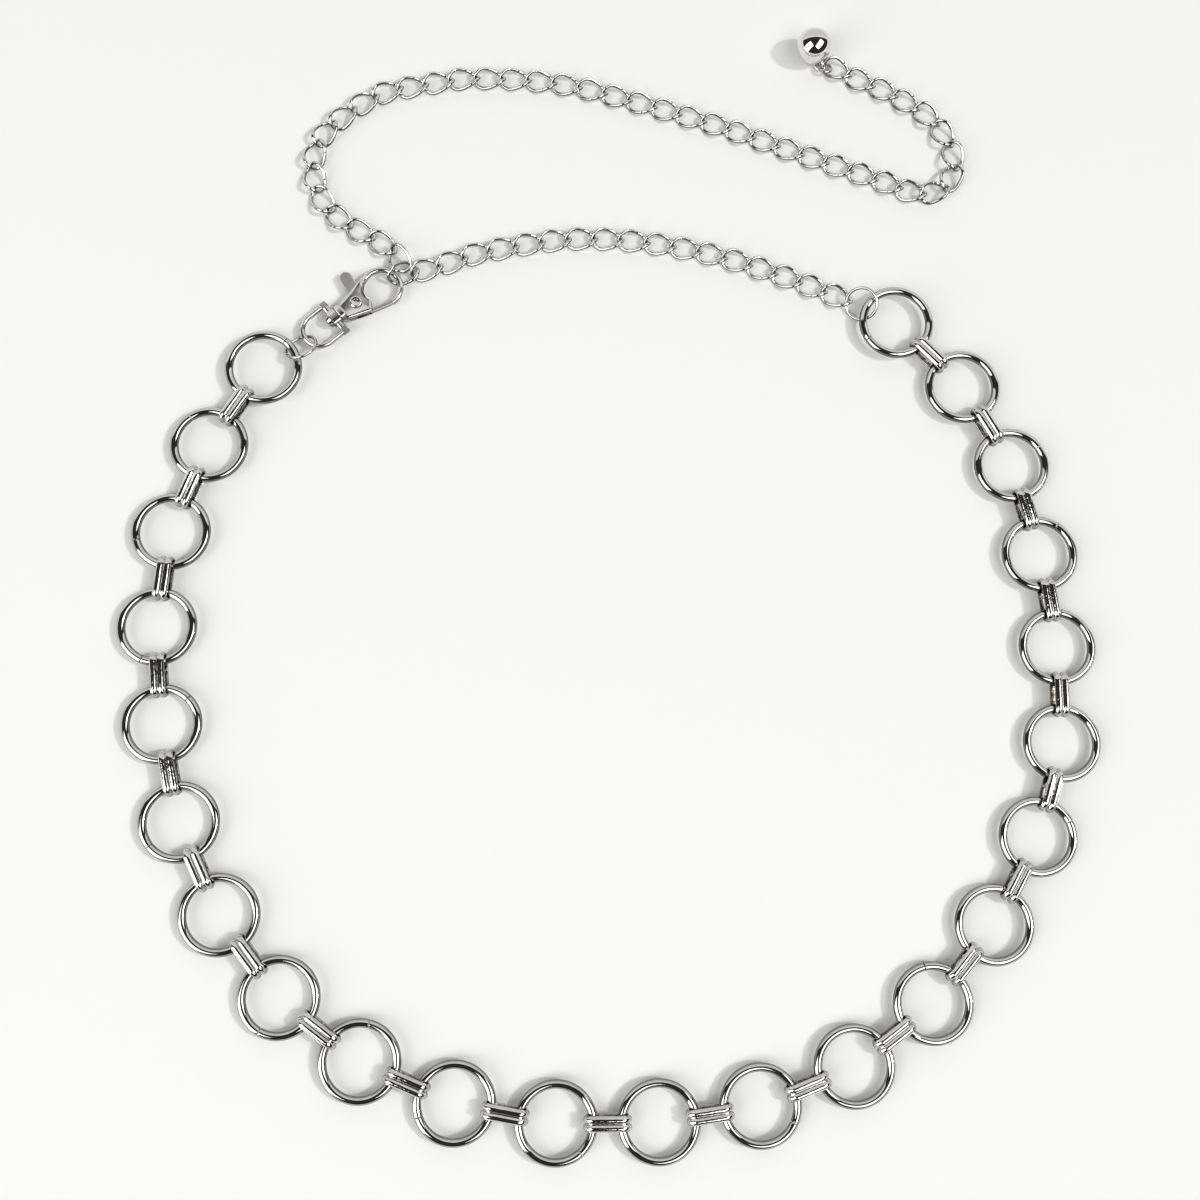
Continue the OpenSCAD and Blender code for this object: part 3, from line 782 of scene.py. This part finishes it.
def bar(left, right, half_height, corner, roundness=1.0, sink=0.0):
    """A bar between two edges: at each station a rounded rectangle stands across it.

    Each corner runs from flank to top by (1 - s, s), a chamfer, mixed with
    (cos 90s, sin 90s), an arc, in the share given as roundness. The top and the underside
    sink by sink * (1 - x^2), where x goes from -1 to 1 across them.
    """
    left, right = np.array(left, float), np.array(right, float)
    middle, across = (left + right) / 2, (left - right) / 2
    half_width = np.linalg.norm(across, axis=1)
    across = across / half_width[:, None]
    half_height, corner, roundness, sink = (np.broadcast_to(value, half_width.shape)[:, None]
                                            for value in (half_height, corner, roundness, sink))
    half_width = half_width[:, None]
    corner = np.minimum(corner, BAR_CORNER_LIMIT * np.minimum(half_width, half_height))
    share = np.linspace(0, 1, BAR_CORNER_POINTS)
    arc_side = roundness * np.cos(share * np.pi / 2) + (1 - roundness) * (1 - share)
    arc_up = roundness * np.sin(share * np.pi / 2) + (1 - roundness) * share
    side = half_width - corner + corner * arc_side
    height = half_height - corner + corner * arc_up
    x = np.linspace(1, -1, BAR_FLAT_POINTS + 2)[1:-1]
    flat_side = (half_width - corner) * x
    flat_height = half_height - sink * (1 - x ** 2)
    top_side = np.concatenate([side, flat_side, -side[:, ::-1]], axis=1)
    top_height = np.concatenate([height, flat_height, height[:, ::-1]], axis=1)
    side = np.concatenate([top_side, -top_side], axis=1)
    height = np.concatenate([top_height, -top_height], axis=1)
    flat = middle[:, None, :] + side[..., None] * across[:, None, :]
    return shell(in_clasp(np.concatenate([flat, height[..., None]], axis=2)), False)


def combine(piece, shells, operation):
    """Joins shells to a piece, or cuts them out of it, as one watertight solid."""
    for one in shells:
        tool = piece_from("tool", [one], piece.data.materials[0])
        step = piece.modifiers.new("step", "BOOLEAN")
        step.operation, step.solver, step.object = operation, "EXACT", tool
        result = piece.evaluated_get(bpy.context.evaluated_depsgraph_get())
        solid = bpy.data.meshes.new_from_object(result)
        piece.modifiers.clear()
        piece.data = solid
        bpy.data.objects.remove(tool)
    return piece


def finish_casting(piece, sharp_deg=30):
    """Smooth but for real edges, with flat faces kept flat by weighting normals by area."""
    piece.data.shade_smooth()
    piece.data.set_sharp_from_angle(angle=np.radians(sharp_deg))
    weigh = piece.modifiers.new("flat_faces", "WEIGHTED_NORMAL")
    weigh.keep_sharp = True
    weigh.weight = 100
    return piece


print("shell kinds ready")

# %% [markdown]
# ## Hook
# Body, bow and stem are one casting. The body is a flat bevelled plate that narrows into the
# round wire of the bow, so one bar with a changing section draws both: its outer edge runs
# straight and then round the bow, its inner edge goes out to the gate's corner, back along the
# mouth and round inside the bow. The stem with its collar and peened head is turned.

# %% Edges of the hook
BOW_AT = np.array([18.6, -2.0])
BOW_R_MM = 6.3
BOW_WIRE_R_MM = 0.95
MOUTH_R_MM = 6.1
BODY_START_MM = 3.5
BOW_JOIN_DEG = 102
BOW_TIP_DEG = -96.4
MOUTH_FROM_DEG = 198
NARROW_FROM_DEG = 150
GATE_CORNER = np.array([10.75, -6.83])
STEM_LEFT = np.array([BODY_START_MM, 2.17])
STEM_RIGHT = np.array([BODY_START_MM, -4.03])
# Shares of the outer edge that lie opposite the gate's corner and the start of the mouth
OUTER_AT_GATE, OUTER_AT_MOUTH = 0.42, 0.52
GATE_ROWS, SIDE_ROWS, MOUTH_ROWS, BOW_ROWS = 11, 6, 40, 69


def between(start, end, shares):
    """Points on the line from start to end at the given shares of it."""
    return start + np.asarray(shares)[:, None] * (np.asarray(end) - start)


def eased(value, low, high):
    """0 below low, 1 above high, and 3 s^2 - 2 s^3 of the share s between them."""
    share = np.clip((value - low) / (high - low), 0, 1)
    return share * share * (3 - 2 * share)


def shares_to(start, end, rows):
    """Even shares from start up to, but without, end."""
    return np.linspace(start, end, rows + 1)[:-1]


mouth_deg = np.linspace(MOUTH_FROM_DEG, BOW_JOIN_DEG, MOUTH_ROWS)
narrowing = eased(-mouth_deg, -NARROW_FROM_DEG, -BOW_JOIN_DEG)
bow_inner_r = BOW_R_MM - BOW_WIRE_R_MM
bow_outer_r = BOW_R_MM + BOW_WIRE_R_MM
mouth_reach = MOUTH_R_MM + (bow_inner_r - MOUTH_R_MM) * narrowing
mouth_edge = BOW_AT + mouth_reach[:, None] * heading(mouth_deg)
bow_deg = np.linspace(BOW_JOIN_DEG, BOW_TIP_DEG, BOW_ROWS + 1)[1:]
inner_edge = np.concatenate([between(STEM_RIGHT, GATE_CORNER, shares_to(0, 1, GATE_ROWS)),
                             between(GATE_CORNER, mouth_edge[0], shares_to(0, 1, SIDE_ROWS)),
                             mouth_edge, BOW_AT + bow_inner_r * heading(bow_deg)])
outer_shares = np.concatenate([shares_to(0, OUTER_AT_GATE, GATE_ROWS),
                               shares_to(OUTER_AT_GATE, OUTER_AT_MOUTH, SIDE_ROWS),
                               np.linspace(OUTER_AT_MOUTH, 1, MOUTH_ROWS)])
outer_edge = np.concatenate([between(STEM_LEFT, BOW_AT + bow_outer_r * heading(BOW_JOIN_DEG), outer_shares),
                             BOW_AT + bow_outer_r * heading(bow_deg)])
print("stations along the hook:", len(inner_edge))

# %% Hook
BODY_HALF_MM = 1.7
BODY_BEVEL_MM = 0.8
BODY_ROUNDNESS = 0.7
BODY_SINK_MM = 0.1
STEM_R_MM = 1.2
STEM_FROM_MM = -1.6
STEM_TO_MM = 4.2
HEAD_R_MM = 2.3
COLLAR_R_MM = 2.2
COLLAR_WIDEN = 1.18
CAST_SQUARENESS = 4
# Length along the swivel and radius, in mm: the peened head and the stem, then the collar
STEM_PROFILE = [(-2.9, 1.45), (-2.8, 1.66), (-1.72, HEAD_R_MM - 0.02), (-1.66, HEAD_R_MM),
                (STEM_FROM_MM, 2.2), (STEM_FROM_MM, STEM_R_MM), (STEM_TO_MM, STEM_R_MM)]
COLLAR_PROFILE = [(1.6, COLLAR_R_MM - 0.15), (1.75, COLLAR_R_MM), (3.2, COLLAR_R_MM),
                  (3.35, COLLAR_R_MM - 0.15), (3.8, COLLAR_R_MM - 0.3)]
SLOT_FROM_MM = 5.7
SLOT_TO_MM = 14.2
SLOT_SIDE_MM = 12
SLOT_HALF_MM = 0.9
RIVET_BORE_R_MM = 1.25
BORE_HALF_MM = 4
CUT_RIM_MM = 0.01

# From the flat body, 0, to the round wire of the bow, 1
to_wire = np.concatenate([np.zeros(GATE_ROWS + SIDE_ROWS), narrowing, np.ones(BOW_ROWS)])
body = bar(outer_edge, inner_edge,
           half_height=BODY_HALF_MM + to_wire * (BOW_WIRE_R_MM - BODY_HALF_MM),
           corner=BODY_BEVEL_MM + to_wire * (BOW_WIRE_R_MM - BODY_BEVEL_MM),
           roundness=BODY_ROUNDNESS + (1 - BODY_ROUNDNESS) * to_wire,
           sink=BODY_SINK_MM * (1 - to_wire))
hook = piece_from("clasp_hook_casting", [body], cast_plating)
collar = turned(COLLAR_PROFILE, squareness=CAST_SQUARENESS, widen=COLLAR_WIDEN)
combine(hook, [turned(STEM_PROFILE), collar], "UNION")
slot_cut = plate([(SLOT_FROM_MM, -SLOT_SIDE_MM), (SLOT_TO_MM, -SLOT_SIDE_MM),
                  (SLOT_TO_MM, SLOT_SIDE_MM), (SLOT_FROM_MM, SLOT_SIDE_MM)], SLOT_HALF_MM, CUT_RIM_MM)
bore_turn = heading(np.arange(40) * 9)
rivet_bore = plate(rivet_at + RIVET_BORE_R_MM * bore_turn, BORE_HALF_MM, CUT_RIM_MM)
combine(hook, [slot_cut, rivet_bore], "DIFFERENCE")
dress(finish_casting(hook), "root", "clasp_metal", "clasp_hook")

# %% [markdown]
# ## Bail
# A D of round wire whose ends join a square bar, with a bored boss in the middle of the bar
# where the hook's stem turns.

# %% Bail
BAIL_R_MM = 5.65
BAIL_WIRE_R_MM = 0.85
BAIL_REACH_MM = 6.2
BAIL_ROWS = 60
BAIL_COLUMNS = 24
WIRE_INTO_BAR_MM = 0.4
BAR_HALF_MM = 1.2
BAR_HALF_T_MM = 1.1
BAR_EDGE_MM = 0.08
BAR_CORNER_MM = 0.15
BAR_ROUND_CORNER_MM = 1.0
SHOULDER_FROM_MM = 4.7
SHOULDER_STEP_MM = 0.25
BOSS_R_MM = 1.9
BOSS_HALF_MM = 1.45
BOSS_EDGE_MM = 0.15
BOSS_WIDEN = 1.4
BORE_R_MM = 1.35

bend_deg = np.linspace(90, 270, BAIL_ROWS)
bail_middle = np.concatenate([[(WIRE_INTO_BAR_MM, BAIL_R_MM)],
                              (-BAIL_REACH_MM, 0) + BAIL_R_MM * heading(bend_deg),
                              [(WIRE_INTO_BAR_MM, -BAIL_R_MM)]])
bail_out = np.concatenate([[(0, 1)], heading(bend_deg), [(0, -1)]])
wire_cos, wire_sin = circle_of(BAIL_COLUMNS)
bail_flat = bail_middle[:, None, :] + BAIL_WIRE_R_MM * wire_cos[None, :, None] * bail_out[:, None, :]
bail_height = np.broadcast_to(BAIL_WIRE_R_MM * wire_sin[None, :, None], (*bail_flat.shape[:2], 1))
bail_wire = shell(in_clasp(np.concatenate([bail_flat, bail_height], axis=2)), False)

# The bar is square between its ends and its shoulders, and rounder between the shoulders
bar_end = BAIL_R_MM + BAIL_WIRE_R_MM
half_stations = np.array([SHOULDER_FROM_MM - SHOULDER_STEP_MM, SHOULDER_FROM_MM,
                          bar_end - BAR_EDGE_MM, bar_end])
stations = np.concatenate([-half_stations[::-1], half_stations])
edge_step = BAR_EDGE_MM * (np.abs(stations) == bar_end)
bar_half = BAR_HALF_MM - edge_step
cross_bar = bar(np.stack([bar_half, stations], axis=1), np.stack([-bar_half, stations], axis=1),
                half_height=BAR_HALF_T_MM - edge_step,
                corner=np.where(np.abs(stations) < SHOULDER_FROM_MM, BAR_ROUND_CORNER_MM, BAR_CORNER_MM))
boss = turned([(-BOSS_HALF_MM, BOSS_R_MM - BOSS_EDGE_MM), (BOSS_EDGE_MM - BOSS_HALF_MM, BOSS_R_MM),
               (BOSS_HALF_MM - BOSS_EDGE_MM, BOSS_R_MM), (BOSS_HALF_MM, BOSS_R_MM - BOSS_EDGE_MM)],
              squareness=CAST_SQUARENESS, widen=BOSS_WIDEN)
bail = piece_from("swivel_bail_casting", [cross_bar], cast_plating)
combine(bail, [boss, bail_wire], "UNION")
combine(bail, [turned([(-BORE_HALF_MM, BORE_R_MM), (BORE_HALF_MM, BORE_R_MM)])], "DIFFERENCE")
dress(finish_casting(bail), "bail", "clasp_metal", "swivel_bail")

# %% [markdown]
# ## Lever and rivet
# The lever is one plate: a hub on the rivet, a thumb tab with a round end, and the gate, a
# straight bar whose end meets the tip of the bow. The rivet's heads are turned, with a small
# six-sided recess in the upper one.

# %% Lever
LEVER_HALF_MM = 0.7
TAB_HALF_MM = 1.95
TAB_RIM_MM = 0.4
TAB_TURN_POINTS = 33
TAB_ROOT = rivet_at + (1.4, 0.4)
TAB_END = rivet_at + 9.9 * heading(71)
GATE_ROOT = rivet_at + (1.7, -5)
GATE_TIP = BOW_AT + BOW_R_MM * heading(-98)
GATE_PLAY_MM = 0.05
GATE_HALF_MM = 0.75
GATE_CORNER_MM = 0.5
# Share of the way along the gate, and share of its width there: the tip narrows
GATE_STATIONS = np.array([(0, 1), (0.94, 1), (0.965, 0.97), (0.985, 0.9), (0.996, 0.8), (1, 0.7)])
HUB_R_MM = 2.5
HUB_RIM_MM = 0.1
ARM_RIM_MM = 0.08
# How much thinner each shell is than the tab, so that no two faces lie in one plane
HUB_LOWER_MM, GATE_LOWER_MM, ARM_LOWER_MM = 0.01, 0.02, 0.04


def unit_and_left(start, end):
    """Unit vector from start to end, and the same turned left."""
    along = (end - start) / np.linalg.norm(end - start)
    return along, np.array([-along[1], along[0]])


tab_along, tab_left = unit_and_left(TAB_ROOT, TAB_END)
end_turn = np.radians(np.linspace(-90, 90, TAB_TURN_POINTS))[:, None]
round_end = TAB_END + TAB_HALF_MM * (np.cos(end_turn) * tab_along + np.sin(end_turn) * tab_left)
tab = plate(np.concatenate([[TAB_ROOT - TAB_HALF_MM * tab_left], round_end,
                            [TAB_ROOT + TAB_HALF_MM * tab_left]]), LEVER_HALF_MM, TAB_RIM_MM)
gate_along, gate_left = unit_and_left(GATE_ROOT, GATE_TIP)
gate_middle = between(GATE_ROOT, GATE_TIP - GATE_PLAY_MM * gate_along, GATE_STATIONS[:, 0])
gate_half = GATE_HALF_MM * GATE_STATIONS[:, 1:] * gate_left
gate = bar(gate_middle + gate_half, gate_middle - gate_half, LEVER_HALF_MM - GATE_LOWER_MM, GATE_CORNER_MM)
hub = plate(rivet_at + HUB_R_MM * bore_turn, LEVER_HALF_MM - HUB_LOWER_MM, HUB_RIM_MM)
arm_corners = [rivet_at + (-1.4, -1.6), rivet_at + (2.3, -1),
               GATE_ROOT + (1.1, 0.4), GATE_ROOT + (-0.8, -0.3)]
arm = plate(arm_corners, LEVER_HALF_MM - ARM_LOWER_MM, ARM_RIM_MM)
lever = piece_from("clasp_lever_plate", [tab], lever_plating)
combine(lever, [hub, arm, gate], "UNION")
combine(lever, [rivet_bore], "DIFFERENCE")
dress(finish_casting(lever), "lever", "lever_metal", "clasp_lever")

# %% Rivet
HEAD_FROM_MM = 1.8
HEAD_TO_MM = 2.3
RIVET_HEAD_R_MM = 2.1
SHANK_R_MM = 1.1
RECESS_R_MM = 1.1
RECESS_FLOOR_MM = 1.86
RECESS_SIDES = 6
RIVET_COLUMNS = 60
# Height in mm, radius in mm and how six-sided: the lower head, the shank, the upper head with
# its domed rim, and the recess down to its floor
RIVET_ROWS = [
    (-HEAD_TO_MM, 0.5, 0), (-HEAD_TO_MM, 1.5, 0), (-2.24, 1.72, 0), (-1.95, 2.02, 0),
    (-HEAD_FROM_MM, RIVET_HEAD_R_MM, 0), (-HEAD_FROM_MM, SHANK_R_MM, 0),
    (HEAD_FROM_MM, SHANK_R_MM, 0), (HEAD_FROM_MM, RIVET_HEAD_R_MM, 0),
    (1.95, 2.05, 0), (2.18, 1.85, 0), (2.28, 1.66, 0), (HEAD_TO_MM, 1.5, 0), (2.27, 1.3, 0.3),
    (2.2, RECESS_R_MM, 1), (1.9, 0.98 * RECESS_R_MM, 1),
    (RECESS_FLOOR_MM, 0.9 * RECESS_R_MM, 1), (RECESS_FLOOR_MM, 0.3, 0.5)]


def rivet_shell():
    """The rivet about its own axis, round but for the recess.

    In the recess the radius is R cos(half step) / cos(angle within the step - half step),
    which is a regular polygon of RECESS_SIDES sides.
    """
    turn = np.arange(RIVET_COLUMNS) * 2 * np.pi / RIVET_COLUMNS
    step = 2 * np.pi / RECESS_SIDES
    six_sided = np.cos(step / 2) / np.cos(turn % step - step / 2)
    height, radius, sided = (np.array(RIVET_ROWS).T)[:, :, None]
    reach = radius * (1 + sided * (six_sided - 1))
    grid = np.stack([rivet_at[0] + reach * np.cos(turn), rivet_at[1] + reach * np.sin(turn),
                     np.broadcast_to(height, reach.shape)], axis=-1)
    return shell(in_clasp(grid), False)


rivet = piece_from("clasp_rivet_turned", [rivet_shell()], cast_plating)
dress(finish_casting(rivet), "root", "clasp_metal", "clasp_rivet")

# %% [markdown]
# ## Ball
# A polished ball with a wire loop soldered on. The ball rests on the table, and its loop does
# not pass its +X, +Y or upper side. So its radius is half its height, and its centre lies one
# radius inside the upper corner of its box. Points outside that sphere give the loop's place.

# %% Ball
BALL_ROWS = 90
BALL_COLUMNS = 96
POLE_DEG = 0.6
BALL_SHARP_DEG = 40
BALL_LOOP_R_MM = 1.55
BALL_LOOP_WIRE_R_MM = 0.45
LOOP_STANDS_OFF_MM = 0.4
LOOP_ROWS = 64
LOOP_COLUMNS = 20

ball_points = np.unique(np.round(node_triangles("end_ball").reshape(-1, 3), 3), axis=0)
ball_high = ball_points.max(0)
ball_r = (ball_high[2] - ball_points[:, 2].min()) / 2
ball_at = ball_high - ball_r
from_centre = np.linalg.norm(ball_points - ball_at, axis=1)
loop_points = ball_points[from_centre > ball_r + LOOP_STANDS_OFF_MM]
to_loop = loop_points.mean(0) - ball_at
to_loop /= np.linalg.norm(to_loop)
loop_axis = np.linalg.eigh(np.cov((loop_points - loop_points.mean(0)).T))[1].T[0]
loop_axis -= to_loop * (loop_axis @ to_loop)
loop_axis /= np.linalg.norm(loop_axis)
third = np.cross(loop_axis, to_loop)
print("ball centre in mm:", ball_at.round(2), "radius", round(ball_r, 2))

down = np.radians(np.linspace(POLE_DEG, 180 - POLE_DEG, BALL_ROWS))[:, None, None]
ball_cos, ball_sin = (part[None, :, None] for part in circle_of(BALL_COLUMNS))
ball_grid = ball_at + ball_r * (np.cos(down) * to_loop
                                + np.sin(down) * (ball_cos * loop_axis + ball_sin * third))
loop_at = ball_at + (ball_r + BALL_LOOP_R_MM / 2) * to_loop
turn_cos, turn_sin = (part[:, None] for part in circle_of(LOOP_ROWS))
loop_out = (turn_cos * to_loop + turn_sin * third)[:, None, :]
loop_cos, loop_sin = (part[None, :, None] for part in circle_of(LOOP_COLUMNS))
loop_grid = (loop_at + (BALL_LOOP_R_MM + BALL_LOOP_WIRE_R_MM * loop_cos) * loop_out
             + BALL_LOOP_WIRE_R_MM * loop_sin * loop_axis)
ball = piece_from("end_ball_polished", [shell(ball_grid, False)], ball_plating)
combine(ball, [shell(loop_grid, True)], "UNION")
ball.data.shade_smooth()
ball.data.set_sharp_from_angle(angle=np.radians(BALL_SHARP_DEG))
dress(ball, "root", "ball_metal", "end_ball")
